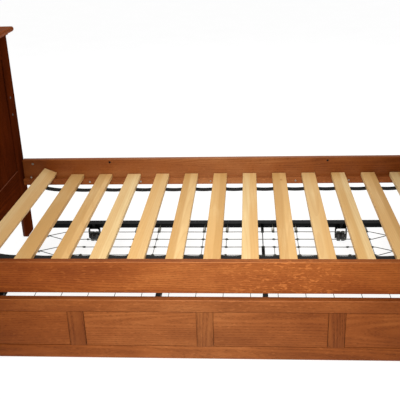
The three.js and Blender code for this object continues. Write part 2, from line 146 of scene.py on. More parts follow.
def turned(profile, n=32, axis="x"):
    """A solid of revolution: the profile starts and ends on the axis."""
    verts, faces = [], []
    inner = profile[1:-1]
    M = len(inner)
    for k in range(n):
        a = 2 * math.pi * k / n
        for r, h in inner:
            c, s = r * math.cos(a), r * math.sin(a)
            verts.append({"x": (h, c, s), "y": (s, h, c), "z": (c, s, h)}[axis])
    ends = []
    for h in (profile[0][1], profile[-1][1]):
        ends.append(len(verts))
        verts.append({"x": (h, 0, 0), "y": (0, h, 0), "z": (0, 0, h)}[axis])
    for k in range(n):
        j = (k + 1) % n
        for i in range(M - 1):
            faces.append((k * M + i, j * M + i, j * M + i + 1, k * M + i + 1))
        faces.append((ends[0], j * M, k * M))
        faces.append((k * M + M - 1, j * M + M - 1, ends[1]))
    return outward(verts, faces)


def outward(verts, faces):
    bm = bmesh.new()
    vs = [bm.verts.new(Vector(v)) for v in verts]
    for f in faces:
        bm.faces.new([vs[i] for i in f])
    bm.verts.index_update()
    bmesh.ops.recalc_face_normals(bm, faces=bm.faces[:])
    out = [v.co.copy() for v in bm.verts], [[v.index for v in f.verts] for f in bm.faces]
    bm.free()
    return out


def prism(outline, h0, h1, axis="z"):
    """A flat outline made into a plate. Outline pairs are (x, y) for z, (x, z) for y, (y, z) for x."""
    n = len(outline)
    place = {"z": lambda a, b, h: (a, b, h), "y": lambda a, b, h: (a, h, b), "x": lambda a, b, h: (h, a, b)}[axis]
    verts = [place(a, b, h0) for a, b in outline] + [place(a, b, h1) for a, b in outline]
    faces = [tuple(range(n)), tuple(range(n, 2 * n))] + [(i, (i + 1) % n, n + (i + 1) % n, n + i) for i in range(n)]
    return outward(verts, faces)


def ring(centre, r, u, v, n=14, start=0.0, turn=1.0):
    """Points of a circle, or of part of one, in the plane of u and v."""
    c, u, v = Vector(centre), Vector(u), Vector(v)
    m = n if turn >= 1 else n + 1
    return [c + (u * math.cos(2 * math.pi * (start + turn * k / n)) + v * math.sin(2 * math.pi * (start + turn * k / n))) * r for k in range(m)]


def helix(a, b, R, turns, per=10, phase=0.0):
    a, b = Vector(a), Vector(b)
    t = (b - a).normalized()
    u = Vector((0, 0, 1)) - t * t.z
    u.normalize()
    v = t.cross(u)
    n = int(turns * per)
    return [a.lerp(b, k / n) + (u * math.cos(2 * math.pi * (k / per) + phase) + v * math.sin(2 * math.pi * (k / per) + phase)) * R for k in range(n + 1)]


# ------------------------------------------------------------------ material helpers
def srgb(r, g, b):
    return tuple((c / 12.92 if c <= 0.04045 else ((c + 0.055) / 1.055) ** 2.4) for c in (r / 255, g / 255, b / 255)) + (1.0,)


class Mat:
    def __init__(self, name):
        self.m = bpy.data.materials.new(name)
        self.m.use_nodes = True
        self.t = self.m.node_tree
        self.t.nodes.clear()
        self.out = self.t.nodes.new("ShaderNodeOutputMaterial")
        self.b = self.t.nodes.new("ShaderNodeBsdfPrincipled")
        self.t.links.new(self.b.outputs[0], self.out.inputs[0])

    def node(self, kind, ins=None, **props):
        n = self.t.nodes.new("ShaderNode" + kind)
        for k, v in props.items():
            setattr(n, k, v)
        for k, v in (ins or {}).items():
            self.put(n.inputs[k], v)
        return n

    def put(self, socket, v):
        if isinstance(v, bpy.types.NodeSocket):
            self.t.links.new(v, socket)
        else:
            socket.default_value = v

    def set(self, **kw):
        for k, v in kw.items():
            self.put(self.b.inputs[k.replace("_", " ").title().replace("Ior", "IOR")], v)

    def math(self, op, a, b=0.0, c=0.0, clamp=False):
        n = self.node("Math", operation=op, use_clamp=clamp)
        for i, v in enumerate((a, b, c)):
            self.put(n.inputs[i], v)
        return n.outputs[0]

    def noise(self, vec, scale, detail=2.0, rough=0.5, dist=0.0):
        return self.node("TexNoise", {"Vector": vec, "Scale": scale, "Detail": detail, "Roughness": rough, "Distortion": dist}).outputs[0]

    def map(self, vec, loc=(0, 0, 0), rot=(0, 0, 0), scale=(1, 1, 1)):
        return self.node("Mapping", {"Vector": vec, "Location": loc, "Rotation": rot, "Scale": scale}).outputs[0]

    def range(self, v, a, b, c=0.0, d=1.0, smooth=False):
        n = self.node("MapRange", {"Value": v, "From Min": a, "From Max": b, "To Min": c, "To Max": d})
        n.interpolation_type = "SMOOTHSTEP" if smooth else "LINEAR"
        return n.outputs[0]

    def ramp(self, v, stops):
        n = self.node("ValToRGB", {"Fac": v})
        e = n.color_ramp.elements
        while len(e) < len(stops):
            e.new(0.5)
        for k, (p, c) in enumerate(stops):
            e[k].position = p
            e[k].color = c
        return n.outputs[0]

    def mix(self, fac, a, b, blend="MIX"):
        n = self.node("MixRGB", {"Fac": fac, "Color1": a, "Color2": b}, blend_type=blend)
        return n.outputs[0]

    def bump(self, height, strength=0.3, distance=0.001, normal=None):
        ins = {"Height": height, "Strength": strength, "Distance": distance}
        if normal is not None:
            ins["Normal"] = normal
        return self.node("Bump", ins).outputs[0]


def grain_space(m, axis, centre):
    """Object coordinates turned so that the grain runs along X, with the board's middle at the origin."""
    co = m.node("TexCoord").outputs["Object"]
    rot = {"x": (0, 0, 0), "y": (0, 0, rad(-90)), "z": (0, rad(90), 0)}[axis]
    c = Vector(centre)
    moved = {"x": Vector((c.x, c.y, c.z)), "y": Vector((c.y, -c.x, c.z)), "z": Vector((c.z, c.y, -c.x))}[axis]
    return m.map(co, loc=tuple(-moved), rot=rot)


OAK = dict(dark=(115, 58, 26), mid=(142, 79, 37), light=(170, 105, 54), pore=(76, 34, 12))
# paler, less saturated tone for the rear rail and the ledgers: painted sheen, the lamps' reflection laid into their
# colour
OAK_REAR_SHEEN = dict(dark=(128, 72, 34), mid=(160, 98, 54), light=(184, 124, 76), pore=(92, 45, 20))
OAK_FRONT = dict(dark=(107, 57, 27), mid=(135, 78, 40), light=(160, 101, 58), pore=(68, 32, 14))
OAK_STILE = dict(dark=(94, 49, 24), mid=(119, 67, 34), light=(141, 86, 46), pore=(54, 25, 12))
OAK_DARK = dict(dark=(60, 21, 6), mid=(84, 32, 10), light=(112, 46, 15), pore=(40, 14, 4))


def oak(name, axis, centre, tone, seed, ring_mm=5.0, tilt=1.0, spec=0.15, flecks=0.3, mottle=0.0, streak=1.0, painted_highlight=(), painted_end_shade=()):
    """Stained oak under a satin finish: soft growth bands cut at a slant, slow tone patches, open pores, pale ray
    flecks; it can also carry painted shade toward the board's ends and painted highlights along edges.
    """
    rnd = random.Random(seed)
    m = Mat(name)
    g = grain_space(m, axis, centre)
    # slow waver of the grain, then the tree's own axis a little off the board's
    w = m.node("TexNoise", {"Vector": m.map(g, loc=(rnd.uniform(-9, 9),) * 3, scale=(1.1, 5, 5)), "Scale": 1.0, "Detail": 2.0}).outputs["Color"]
    w = m.node("VectorMath", {0: w, 1: (0.5, 0.5, 0.5)}, operation="SUBTRACT").outputs[0]
    w = m.node("VectorMath", {0: w, 1: (0.0, 0.040, 0.040)}, operation="MULTIPLY").outputs[0]
    p = m.node("VectorMath", {0: g, 1: w}, operation="ADD").outputs[0]
    a = rnd.uniform(0, 2 * math.pi)
    off = rnd.uniform(0.05, 0.11)
    p = m.map(p, loc=(0, off * math.cos(a), off * math.sin(a)), rot=(0, rad(rnd.uniform(-1.6, 1.6) * tilt), rad(rnd.uniform(-1.6, 1.6) * tilt)))
    rings = m.node("TexWave", {"Vector": p, "Scale": 2 * math.pi / (20 * ring_mm / 1000), "Distortion": 0.0}, wave_type="RINGS", rings_direction="X", wave_profile="SIN").outputs["Fac"]
    o = [rnd.uniform(-20, 20) for _ in range(6)]
    wide = m.noise(m.map(g, loc=(o[0], o[1], o[2]), scale=(1.3, 9, 9)), 1.0, 2.0, 0.5)
    mid = m.noise(m.map(g, loc=(o[3], o[4], o[5]), scale=(4.5, 60, 60)), 1.0, 3.0, 0.55)
    fine = m.noise(m.map(g, loc=(o[1], o[3], o[5]), scale=(22, 420, 420)), 1.0, 2.0, 0.6)
    patch = m.noise(m.map(g, loc=(o[2], o[0], o[4]), scale=(7, 16, 16)), 1.0, 2.0, 0.5)
    t = m.math("MULTIPLY", rings, 0.10 * streak)
    t = m.math("MULTIPLY_ADD", wide, 0.62, t)
    t = m.math("MULTIPLY_ADD", mid, 0.24 * streak, t)
    t = m.math("MULTIPLY_ADD", fine, 0.12, t)
    t = m.math("MULTIPLY_ADD", patch, 0.34, t)
    k = 0.5 * (0.10 * streak + 0.62 + 0.24 * streak + 0.12 + 0.34)
    t = m.range(t, k - 0.27, k + 0.27)
    col = m.ramp(t, [(0.0, srgb(*tone["dark"])), (0.5, srgb(*tone["mid"])), (1.0, srgb(*tone["light"]))])
    # pores: short dark dashes, denser where each growth band starts
    dash = m.noise(m.map(g, loc=(o[4], o[2], o[1]), scale=(85, 1300, 1300)), 1.0, 1.0, 0.5)
    early = m.range(rings, 0.2, 0.8, 1.0, 0.3, smooth=True)
    pore = m.math("MULTIPLY", m.range(dash, 0.53, 0.62, smooth=True), early, clamp=True)
    col = m.mix(m.math("MULTIPLY", pore, 0.55), col, srgb(*tone["pore"]))
    # pale flecks of the rays
    pale = srgb(*[min(255, int(c * 1.10 + 6)) for c in tone["light"]])
    fleck = m.range(m.noise(m.map(g, loc=(o[5], o[0], o[3]), scale=(42, 150, 150)), 1.0, 1.0, 0.5), 0.62, 0.72, smooth=True)
    col = m.mix(m.math("MULTIPLY", fleck, flecks), col, pale)
    if mottle:
        # pale scales with darker rims along one stretch of the board, near its middle
        sx = m.node("SeparateXYZ", {0: g}).outputs[0]
        zone = m.math("MULTIPLY", m.range(sx, -0.10, 0.32, 0.0, 1.0, smooth=True), m.range(sx, 0.36, 0.56, 1.0, 0.0, smooth=True))
        sc = m.noise(m.map(g, loc=(o[3], o[1], o[0]), rot=(0, 0, rad(9)), scale=(46, 120, 120)), 1.0, 2.0, 0.55, 0.8)
        scale = m.range(sc, 0.54, 0.66, smooth=True)
        rim = m.math("MULTIPLY", m.range(sc, 0.44, 0.52, smooth=True), m.range(sc, 0.52, 0.58, 1.0, 0.0, smooth=True))
        col = m.mix(m.math("MULTIPLY", m.math("MULTIPLY", scale, zone), mottle), col, srgb(222, 142, 78))
        col = m.mix(m.math("MULTIPLY", m.math("MULTIPLY", rim, zone), mottle * 0.45), col, srgb(128, 58, 16))
    if painted_end_shade:
        # painted shade: the colour darkens toward the board's ends, standing in for the lamp's light falling off away
        # from the middle: (place along X, factor of the colour)
        sx = m.node("SeparateXYZ", {0: m.node("TexCoord").outputs["Object"]}).outputs[0]
        sx = m.math("MULTIPLY_ADD", m.noise(m.map(g, loc=(o[1], 0, o[2]), scale=(6, 9, 9)), 1.0, 2.0, 0.5), 0.10, sx)
        col = m.mix(1.0, col, m.ramp(m.range(sx, -0.95, 1.05), [((q + 1) / 2, (*c, 1.0)) for q, c in painted_end_shade]), "MULTIPLY")
    if painted_highlight:
        # painted highlight: a lighter line along an edge, standing in for the light catching it: (axis, place, axis,
        # place, width, tint, amount), left and right alike
        sep = m.node("SeparateXYZ", {0: m.node("TexCoord").outputs["Object"]})
        along = m.noise(m.map(g, loc=(o[2], o[3], o[0]), scale=(26, 0, 0)), 1.0, 3.0, 0.6)
        for u, a, v, c, width, tint, amount in painted_highlight:
            d = [m.math("ABSOLUTE", m.math("SUBTRACT", m.math("ABSOLUTE", sep.outputs[k]) if k == 0 else sep.outputs[k], q)) for k, q in ((u, a), (v, c))]
            lit_line = m.range(m.math("MAXIMUM", d[0], d[1]), width * 0.55, width, 1.0, 0.0, smooth=True)
            col = m.mix(m.math("MULTIPLY", lit_line, m.range(along, 0.35, 0.62, amount * 0.55, amount)), col, srgb(*tint))
    rough = m.math("MULTIPLY_ADD", pore, 0.15, m.range(mid, 0.3, 0.7, 0.42, 0.54))
    h = m.math("MULTIPLY_ADD", pore, -1.0, m.math("MULTIPLY", fine, 0.35))
    if spec is None:
        # an end's outer side keeps its gloss, its inner side is rubbed dull
        ax = m.math("ABSOLUTE", m.node("SeparateXYZ", {0: m.node("TexCoord").outputs["Object"]}).outputs[0])
        spec = m.range(ax, 0.9685, 0.9725, 0.0, 0.28)
    m.set(base_color=col, roughness=rough, specular_ior_level=spec, normal=m.bump(h, 0.25, 0.0004))
    return m.m


# five tones of planed pine; each slat shows two of them, drawn by a seeded choice
SLAT_WOODS = [(206, 162, 100), (216, 174, 110), (222, 180, 118), (226, 190, 132), (232, 202, 146)]


def slat_tones(i):
    r = random.Random(40 + i)
    a, b, q = r.choice(SLAT_WOODS), r.choice(SLAT_WOODS), r.uniform(0.42, 0.60)
    return [(0.0, a), (q, a), (q + 0.10, b), (1.0, b)]


def pine(name, i, centre, lean, seed):
    """Planed, unfinished softwood: each slat with its own bands along the grain, one with a knot."""
    rnd = random.Random(seed)
    m = Mat(name)
    g = grain_space(m, "y", centre)
    sep = m.node("SeparateXYZ", {0: m.node("TexCoord").outputs["Object"]})
    across = m.math("MULTIPLY_ADD", sep.outputs[1], -lean, sep.outputs[0])
    wob = m.noise(m.map(g, loc=(rnd.uniform(-9, 9),) * 3, scale=(2.2, 6, 6)), 1.0, 1.0, 0.5)
    across = m.math("MULTIPLY_ADD", wob, 0.014, across)
    place = m.range(across, centre[0] - lean * centre[1] - 0.032 + 0.007, centre[0] - lean * centre[1] + 0.032 + 0.007)
    col = m.ramp(place, [(q, srgb(*c)) for q, c in slat_tones(i)])
    w = m.node("TexNoise", {"Vector": m.map(g, loc=(rnd.uniform(-9, 9),) * 3, scale=(2.0, 9, 9)), "Scale": 1.0, "Detail": 1.0}).outputs["Color"]
    w = m.node("VectorMath", {0: w, 1: (0.5, 0.5, 0.5)}, operation="SUBTRACT").outputs[0]
    w = m.node("VectorMath", {0: w, 1: (0.0, 0.018, 0.018)}, operation="MULTIPLY").outputs[0]
    p = m.node("VectorMath", {0: g, 1: w}, operation="ADD").outputs[0]
    a = rnd.uniform(0, 2 * math.pi)
    off = rnd.uniform(0.03, 0.09)
    p = m.map(p, loc=(0, off * math.cos(a), off * math.sin(a)), rot=(0, rad(rnd.uniform(-2, 2)), rad(rnd.uniform(-2, 2))))
    rings = m.node("TexWave", {"Vector": p, "Scale": 2 * math.pi / (20 * rnd.uniform(0.005, 0.009)), "Distortion": 0.0}, wave_type="RINGS", rings_direction="X", wave_profile="SAW").outputs["Fac"]
    late = m.range(m.math("POWER", rings, 3.0), 0.1, 0.9, smooth=True)
    o = [rnd.uniform(-20, 20) for _ in range(6)]
    wide = m.noise(m.map(g, loc=(o[0], o[1], o[2]), scale=(2.6, 14, 14)), 1.0, 2.0, 0.5)
    mid = m.noise(m.map(g, loc=(o[3], o[4], o[5]), scale=(5, 160, 160)), 1.0, 3.0, 0.55)
    fine = m.noise(m.map(g, loc=(o[1], o[3], o[5]), scale=(30, 1200, 1200)), 1.0, 2.0, 0.6)
    t = m.math("MULTIPLY_ADD", wide, 0.60, m.math("MULTIPLY", mid, 0.30))
    t = m.math("MULTIPLY_ADD", fine, 0.20, t)
    col = m.mix(m.range(t, 0.44, 0.70, 0.30, 0.0), col, srgb(204, 154, 90))
    col = m.mix(m.range(t, 0.56, 0.78, 0.0, 0.35), col, srgb(248, 222, 172))
    col = m.mix(m.math("MULTIPLY", late, 0.20), col, srgb(196, 142, 80))
    if i == 9:
        kn = m.node("VectorMath", {0: m.map(m.node("TexCoord").outputs["Object"], loc=(-0.300 * 9, -0.405 * 5.5, 0.0), scale=(9, 5.5, 0.0))}, operation="LENGTH").outputs["Value"]
        d = m.math("MULTIPLY_ADD", m.noise(g, 90.0, 2.0, 0.6), 0.03, kn)
        col = m.mix(m.range(d, 0.05, 0.14, 0.42, 0.0, smooth=True), col, srgb(196, 146, 84))
        col = m.mix(m.range(d, 0.045, 0.066, 0.6, 0.0, smooth=True), col, srgb(158, 102, 54))
    m.set(base_color=col, roughness=m.range(mid, 0.3, 0.7, 0.52, 0.66), specular_ior_level=0.15,
          normal=m.bump(m.math("MULTIPLY_ADD", late, 0.6, m.math("MULTIPLY", fine, 0.5)), 0.25, 0.0004))
    return m.m


def painted_steel(name):
    m = Mat(name)
    co = m.node("TexCoord").outputs["Object"]
    peel = m.noise(co, 420.0, 2.0, 0.5)
    cloud = m.noise(co, 9.0, 3.0, 0.6)
    dust = m.noise(m.map(co, scale=(1, 1, 3)), 60.0, 4.0, 0.7)
    scuff = m.range(m.noise(m.map(co, scale=(40, 220, 220)), 1.0, 2.0, 0.6), 0.66, 0.74, smooth=True)
    col = m.ramp(m.math("MULTIPLY_ADD", cloud, 0.7, m.math("MULTIPLY", dust, 0.3)),
                 [(0.25, srgb(9, 11, 12)), (0.75, srgb(17, 19, 20))])
    col = m.mix(m.math("MULTIPLY", scuff, 0.2), col, srgb(70, 72, 72))
    m.set(base_color=col, roughness=m.range(dust, 0.3, 0.7, 0.34, 0.48), specular_ior_level=0.07,
          normal=m.bump(peel, 0.12, 0.0003))
    return m.m


def bright_wire(name, a0=(58, 62, 58), a1=(86, 90, 85), metal=0.35):
    m = Mat(name)
    co = m.node("TexCoord").outputs["Object"]
    a = m.noise(co, 35.0, 3.0, 0.6)
    b = m.noise(m.map(co, scale=(300, 300, 300)), 1.0, 2.0, 0.5)
    col = m.ramp(a, [(0.3, srgb(*a0)), (0.7, srgb(*a1))])
    m.set(base_color=col, metallic=metal, roughness=m.range(a, 0.3, 0.7, 0.30, 0.46), normal=m.bump(b, 0.15, 0.0002))
    return m.m


def zinc(name):
    m = Mat(name)
    co = m.node("TexCoord").outputs["Object"]
    a = m.noise(co, 120.0, 3.0, 0.6)
    b = m.noise(co, 900.0, 2.0, 0.6)
    col = m.ramp(a, [(0.3, srgb(186, 186, 172)), (0.55, srgb(214, 214, 206)), (0.75, srgb(196, 190, 160))])
    m.set(base_color=col, metallic=0.95, roughness=m.range(b, 0.3, 0.7, 0.24, 0.42), normal=m.bump(b, 0.1, 0.0002))
    return m.m


def webbing(name):
    """Woven strap: cords along X, crossed by weft in a herringbone."""
    m = Mat(name)
    co = m.node("TexCoord").outputs["Object"]
    sep = m.node("SeparateXYZ", {0: co})
    x, y = sep.outputs[0], sep.outputs[1]
    warp = m.node("TexWave", {"Vector": co, "Scale": 2 * math.pi / (20 * 0.0016), "Distortion": 0.0}, wave_type="BANDS", bands_direction="Y", wave_profile="SIN").outputs["Fac"]
    slant = m.math("PINGPONG", y, 0.0049)
    d = m.math("ADD", x, slant)
    weft = m.math("SINE", m.math("MULTIPLY", d, 2 * math.pi / 0.0022))
    weft = m.math("MULTIPLY_ADD", weft, 0.5, 0.5)
    fuzz = m.noise(co, 700.0, 3.0, 0.7)
    wear_and_highlight = m.noise(co, 22.0, 3.0, 0.6)
    h = m.math("MULTIPLY", warp, weft)
    t = m.math("MULTIPLY_ADD", h, 0.45, m.math("MULTIPLY", fuzz, 0.35))
    t = m.math("MULTIPLY_ADD", wear_and_highlight, 0.3, t)
    col = m.ramp(t, [(0.2, srgb(18, 20, 20)), (0.55, srgb(34, 36, 36)), (0.95, srgb(62, 64, 61))])
    m.set(base_color=col, roughness=0.88, specular_ior_level=0.2,
          normal=m.bump(h, 0.5, 0.0005))
    return m.m


def moulded(name, a=(15, 16, 17), b=(31, 33, 34)):
    m = Mat(name)
    co = m.node("TexCoord").outputs["Object"]
    n1 = m.noise(co, 40.0, 3.0, 0.6)
    n2 = m.noise(co, 900.0, 2.0, 0.5)
    dust = m.range(m.noise(co, 160.0, 4.0, 0.7), 0.55, 0.75, smooth=True)
    col = m.ramp(n1, [(0.3, srgb(*a)), (0.7, srgb(*b))])
    col = m.mix(m.math("MULTIPLY", dust, 0.2), col, srgb(98, 96, 92))
    m.set(base_color=col, roughness=m.range(n1, 0.3, 0.7, 0.40, 0.58), normal=m.bump(n2, 0.15, 0.0002))
    return m.m


def shadow_dark(name):
    """Painted shade: the dark inside of a screw's recess and of a socket's hole."""
    m = Mat(name)
    co = m.node("TexCoord").outputs["Object"]
    n = m.noise(co, 800.0, 2.0, 0.6)
    m.set(base_color=m.ramp(n, [(0.3, srgb(30, 28, 25)), (0.7, srgb(58, 54, 48))]), metallic=0.6, roughness=m.range(n, 0.3, 0.7, 0.45, 0.6))
    return m.m


STEEL = painted_steel("black_steel")
WIRE = bright_wire("spring_wire")
COIL = bright_wire("coil_wire", (140, 143, 140), (182, 185, 182), 0.75)
ZINC = zinc("zinc")
DULL = bright_wire("dull_socket", (70, 62, 56), (98, 90, 82), 0.4)
WEB = webbing("webbing")
PLASTIC = moulded("caster_plastic")
RECESS = shadow_dark("recess")


def dress(node, mat):
    me = NODES[node].data
    me.materials.clear()
    me.materials.append(mat)


def middle(node):
    lo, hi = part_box(node)
    return (lo + hi) / 2


def soft_edges(node, width):
    """Rounds the edges of a carried-over node, with a modifier only."""
    mod = NODES[node].modifiers.new("edges", "BEVEL")
    mod.width, mod.segments, mod.limit_method, mod.angle_limit, mod.harden_normals = width, 2, "ANGLE", rad(40), False


# ------------------------------------------------------------------ the wooden parts that keep their CAD shape
seed = 100
for end in ("left", "right"):
    for piece, axis in (("front_post", "z"), ("rear_post", "z"), ("end_bottom_rail", "y"), ("end_top_rail", "y"), ("end_panel", "z")):
        n = f"{end}_{piece}"
        seed += 1
        # painted highlight: a pale line along the top inner edge of each end's bottom rail, where the light catches the
        # ledge
        wear_and_highlight = [(0, 0.9575, 2, 0.358, 0.0032, (150, 92, 70), 0.6)] if piece == "end_bottom_rail" else []
        dress(n, oak("oak_" + n, axis, middle(n), OAK_DARK, seed, ring_mm=6.0, spec=None, flecks=0.10, painted_highlight=wear_and_highlight))
# painted shade: the colour darkens from the middle of a board toward its two ends, standing in for the lamp's light
# falling off there, the same on every board
PAINTED_END_SHADE = [(-0.80, (0.80, 0.60, 0.35)), (0.0, (1, 1, 1)), (0.80, (0.80, 0.60, 0.35))]
# painted highlight: a pale line along the front rail's front top edge, where the light catches its rounding
PAINTED_EDGE_HIGHLIGHT = [(1, -0.532, 2, 0.387, 0.0022, (226, 160, 104), 0.42)]
for n, tone, sd, mm, more in (("front_side_rail", OAK, 7, 6.0, dict(flecks=0.2, mottle=0.32, painted_highlight=PAINTED_EDGE_HIGHLIGHT, painted_end_shade=PAINTED_END_SHADE, spec=0.06)), ("rear_side_rail", OAK_REAR_SHEEN, 12, 6.0, dict(flecks=0.2, painted_end_shade=PAINTED_END_SHADE)),
                             ("front_slat_ledger", OAK_REAR_SHEEN, 23, 5.0, dict(painted_end_shade=PAINTED_END_SHADE)), ("rear_slat_ledger", OAK_REAR_SHEEN, 24, 5.0, dict(painted_end_shade=PAINTED_END_SHADE))):
    dress(n, oak("oak_" + n, "x", middle(n), tone, sd, ring_mm=mm, **more))
SKEW = {1: 1.25, 2: 0.66, 3: 0.53, 4: 0.35, 5: 0.2}      # degrees: the slats whose front ends stand further left
for i in range(1, 14):
    n = f"slat_{i:02d}"
    dress(n, pine("pine_" + n, i, middle(n), math.tan(rad(SKEW.get(i, 0.0))), 300 + i))
for n in ("trundle_steel_frame", "front_support_1", "front_support_2", "front_support_3", "front_support_4"):
    dress(n, STEEL)
soft_edges("trundle_steel_frame", 0.0008)


# ------------------------------------------------------------------ end caps: a bullnosed board over a cove
def cap(end):
    lo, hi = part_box(f"{end}_end_cap")
    cx = (lo.x + hi.x) / 2
    hx, hy = (hi.x - lo.x) / 2, (hi.y - lo.y) / 2
    z0, z1 = lo.z, hi.z
    prof = []                                   # (inset from the outline, height)
    r = 0.0115
    zc = z1 - r
    prof.append((0.0075, z1))
    for k in range(0, 9):
        a = math.pi / 2 - math.pi * k / 8
        prof.append((0.0075 - 0.0075 * math.cos(a), zc + r * math.sin(a)))
    zb = zc - r                                 # underside of the board
    prof.append((0.0140, zb))
    for k in range(0, 7):                       # cove below it
        a = math.pi / 2 * k / 6
        prof.append((0.0140 + 0.0085 * (math.sin(a)), zb - 0.0085 * (1 - math.cos(a))))
    prof.append((0.0225, z0))
    verts, faces = [], []
    for d, z in prof:
        verts += [(cx - hx + d, -hy + d, z), (cx + hx - d, -hy + d, z), (cx + hx - d, hy - d, z), (cx - hx + d, hy - d, z)]
    n = len(prof)
    for i in range(n - 1):
        for k in range(4):
            faces.append((4 * i + k, 4 * i + (k + 1) % 4, 4 * i + 4 + (k + 1) % 4, 4 * i + 4 + k))
    faces.append((0, 1, 2, 3))
    faces.append(tuple(4 * (n - 1) + k for k in (3, 2, 1, 0)))
    b = Build()
    b.add(outward(verts, faces))
    tone = dict(dark=(100, 44, 14), mid=(138, 68, 26), light=(166, 92, 42), pore=(52, 20, 7))
    b.make(f"{end}_cap_moulding", [oak(f"oak_{end}_cap", "y", (cx, 0, z1), tone, 61 if end == "left" else 62, spec=0.02)], "bed", [f"{end}_end_cap"], sharp=28)


cap("left")
cap("right")


# ------------------------------------------------------------------ straps under the slats
SLAT_W, SLAT_T, PITCH = 0.064, 0.019, 0.1397
SLAT_BOTTOM = 0.2953
FIRST = dict(tilt=rad(22.2), skew=rad(1.25), x=-0.7939, y=0.500, low=0.305)


def slat_x(i, y):
    """Middle line of slat i (2 to 13) at that depth."""
    return 0.014 + PITCH * (i - 7) - (0.006 if i == 13 else 0.0) - (0.497 - y) * math.tan(rad(SKEW.get(i, 0.0)))


def first_under(y, d, drop):
    """A point below the first slat's underside, d in from its low edge."""
    edge = FIRST["x"] - (FIRST["y"] - y) * math.tan(FIRST["skew"])
    c, sn = math.cos(FIRST["tilt"]), math.sin(FIRST["tilt"])
    return edge - d * c - drop * sn, FIRST["low"] + d * sn - drop * c


def strap_line(y):
    z = SLAT_BOTTOM - 0.0003
    top = [first_under(y, 0.058 - 0.054 * k / 4, 0.0006) for k in range(5)]
    top.append((first_under(y, 0, 0)[0] + 0.005, FIRST["low"] - 0.0024))
    for i in range(2, 14):
        (x0, z0), x1 = top[-1], slat_x(i, y) - SLAT_W / 2 + 0.003
        for t in (0.08, 0.18, 0.3, 0.42, 0.54, 0.66, 0.78, 0.88, 0.96):
            top.append((x0 + (x1 - x0) * t, z0 + (z - z0) * t - 0.0025 * 4 * t * (1 - t)))
        top += [(x1, z), (slat_x(i, y), z), (slat_x(i, y) + SLAT_W / 2 - 0.003, z)]
    return top


def strap(name, y):
    top = strap_line(y)
    w = 0.0195
    # section across the strap: slightly thicker, rounded selvedges
    sec = [(-w, -0.0008), (-w + 0.0006, -0.0001), (-w + 0.003, 0.0), (-w + 0.005, -0.0002), (0.0, -0.0002), (w - 0.005, -0.0002), (w - 0.003, 0.0), (w - 0.0006, -0.0001),
           (w, -0.0008), (w - 0.0006, -0.0015), (w - 0.004, -0.0016), (0.0, -0.0015), (-w + 0.004, -0.0016), (-w + 0.0006, -0.0015)]
    verts, faces = [], []
    m = len(sec)
    for i, (x, z) in enumerate(top):
        a, c = top[max(0, i - 1)], top[min(len(top) - 1, i + 1)]
        l = math.hypot(c[0] - a[0], c[1] - a[1])
        nx, nz = -(c[1] - a[1]) / l, (c[0] - a[0]) / l
        verts += [(x + nx * h, y + s, z + nz * h) for s, h in sec]
    for i in range(len(top) - 1):
        for k in range(m):
            faces.append((i * m + k, i * m + (k + 1) % m, (i + 1) * m + (k + 1) % m, (i + 1) * m + k))
    faces.append(tuple(range(m)))
    faces.append(tuple((len(top) - 1) * m + k for k in range(m)))
    b = Build()
    b.add(outward(verts, faces))
    # two staples hold each slat: a flat crown across the strap, sunk into the weave
    for i in range(1, 14):
        for across in (-0.010, 0.010):
            for dx in (-0.014, 0.014):
                if i == 1:
                    px, pz = first_under(y + across, SLAT_W / 2 - dx, 0.0027)
                    turn = Matrix.Translation((px, y + across, pz)) @ Matrix.Rotation(FIRST["tilt"], 4, "Y")
                else:
                    turn = Matrix.Translation((slat_x(i, y) + dx, y + across, SLAT_BOTTOM - 0.0020))
                b.add(board(-0.0006, 0.0006, -0.0055, 0.0055, -0.0006, 0.0007, 0.0003, 2), 1, at=turn)
    b.make(name + "_webbing", [WEB, ZINC], "bed", [name])


strap("strap_rear", 0.346)
strap("strap_front", -0.326)


# ------------------------------------------------------------------ fixings
def hex_shape(inner):
    """Points below index `inner` follow a hexagon instead of a circle."""
    def f(i, a):
        if i not in inner:
            return 1.0
        q = (a + math.pi / 6) % (math.pi / 3) - math.pi / 6
        return math.cos(math.pi / 6) / math.cos(q)
    return f


def bolt(end, side, level, z):
    s = -1 if side == "front" else 1
    e = -1 if end == "left" else 1
    y = s * 0.5185
    b = Build()
    # flanged button head with a hexagon socket, outside the post
    f = 0.9813
    prof = [(0.0030, f), (0.0090, f), (0.0090, f + 0.0010), (0.0086, f + 0.0013), (0.0076, f + 0.0022), (0.0060, f + 0.0031), (0.0045, f + 0.0035), (0.0032, f + 0.0035), (0.0029, f + 0.0032), (0.0029, f + 0.0012), (0.0010, f + 0.0010)]
    form = lathe(prof, 36, "x", hex_shape((7, 8, 9)))
    if e < 0:
        form = outward([Vector((-v[0], v[1], v[2])) for v in form[0]], form[1])
    b.add(form, at=Matrix.Translation((0, y, z)))
    nut = {"upper": 0.905, "lower": 0.921}[level]
    xs = sorted((e * (f + 0.0009), e * (nut - 0.007)))
    b.add(turned([(0, xs[0]), (0.0028, xs[0]), (0.0028, xs[1]), (0, xs[1])], 12, "x"), at=Matrix.Translation((0, y, z)))
    # barrel nut: slotted face just below the rail's surface
    yf = s * 0.5058
    yb = s * 0.526
    body = turned([(0, yb), (0.0056, yb), (0.0058, yb - s * 0.0004), (0.0058, yf + s * 0.0014), (0, yf + s * 0.0014)], 28, "y")
    b.add(body, at=Matrix.Translation((e * nut, 0, z)))
    for h in (-1, 1):
        pts = []
        for k in range(13):
            a = rad(10) + rad(160) * k / 12
            pts.append((0.0058 * math.cos(a), h * 0.0058 * math.sin(a)))
        b.add(prism(pts, min(yf, yf + s * 0.0016), max(yf, yf + s * 0.0016), "y"), at=Matrix.Translation((e * nut, 0, z)) @ Matrix.Rotation(rad(28), 4, "Y"))
    b.make(f"bolt_{end}_{side}_{level}", [ZINC], "bed", [f"bed_bolt_{end}_{side}_{level}"], sharp=30)


for end in ("left", "right"):
    for side in ("front", "rear"):
        bolt(end, side, "upper", 0.366)
        bolt(end, side, "lower", 0.296)


